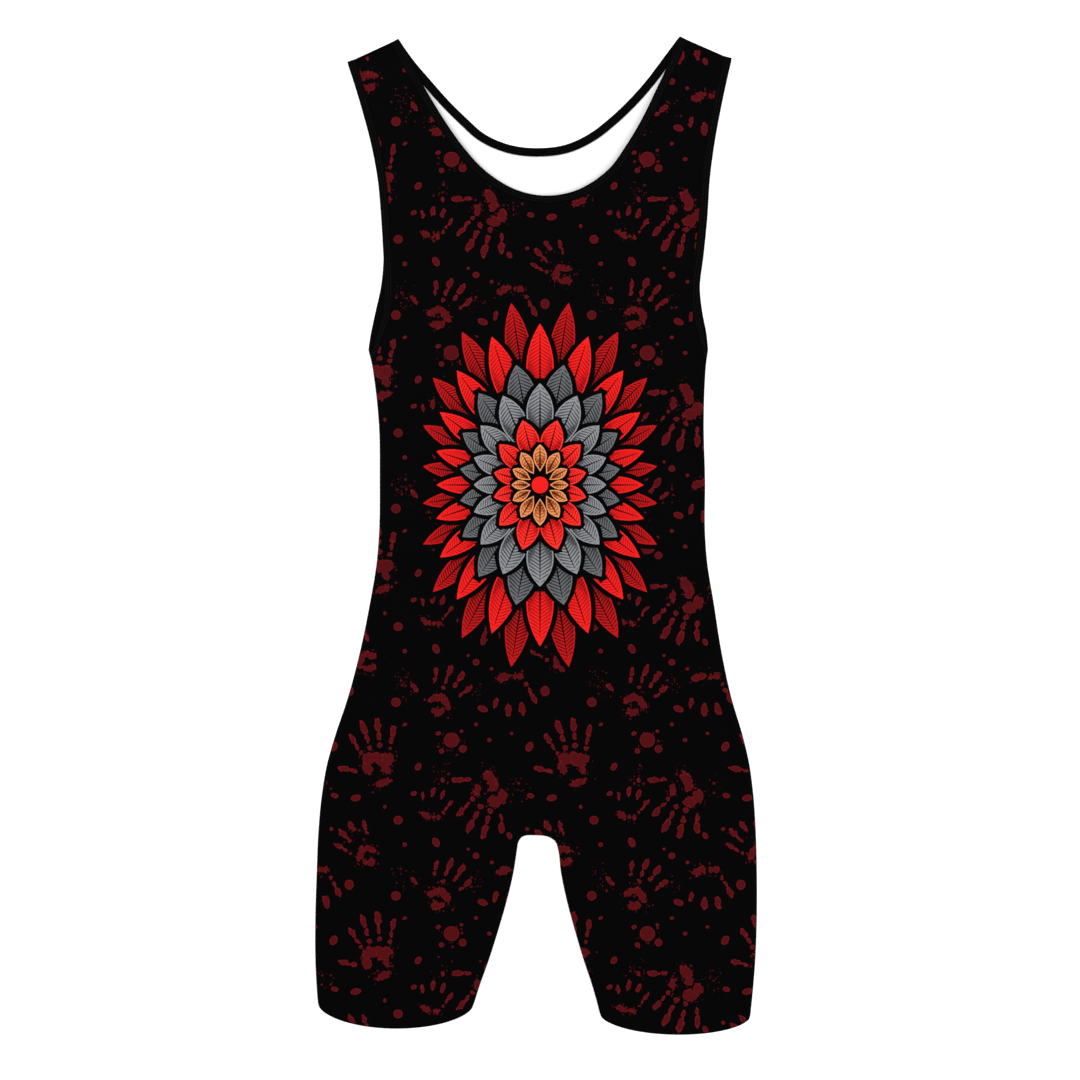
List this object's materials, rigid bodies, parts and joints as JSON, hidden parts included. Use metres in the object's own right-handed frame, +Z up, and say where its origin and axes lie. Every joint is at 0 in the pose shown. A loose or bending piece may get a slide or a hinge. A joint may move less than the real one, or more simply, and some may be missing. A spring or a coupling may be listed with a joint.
{
  "type": "wrestling singlet",
  "caption": "Sleeveless close-fitting one-piece sports garment with short legs, laid flat on its back, with bound neck and armholes and an all-over print.",
  "frame": {"origin": "middle of the garment's outline, on the surface that it lies on", "axes": "+X across the body, towards the wearer's left side; +Y from the leg openings to the shoulder straps; +Z up, out of the front panel"},
  "size_m": [0.3975, 0.898, 0.0032],
  "materials": {
    "printed_knit": "smooth black stretch knit with a satin sheen, printed in dark red over the whole outer face, white on the inner face",
    "binding_knit": "plain black stretch knit, folded over the edge and cover-stitched"
  },
  "bodies": {
    "root": {"front_panel": "printed_knit", "back_panel": "printed_knit", "neck_binding_front": "binding_knit", "neck_binding_back": "binding_knit", "armhole_binding_front_left": "binding_knit", "armhole_binding_front_right": "binding_knit", "armhole_binding_back_left": "binding_knit", "armhole_binding_back_right": "binding_knit"}
  },
  "joints": []
}
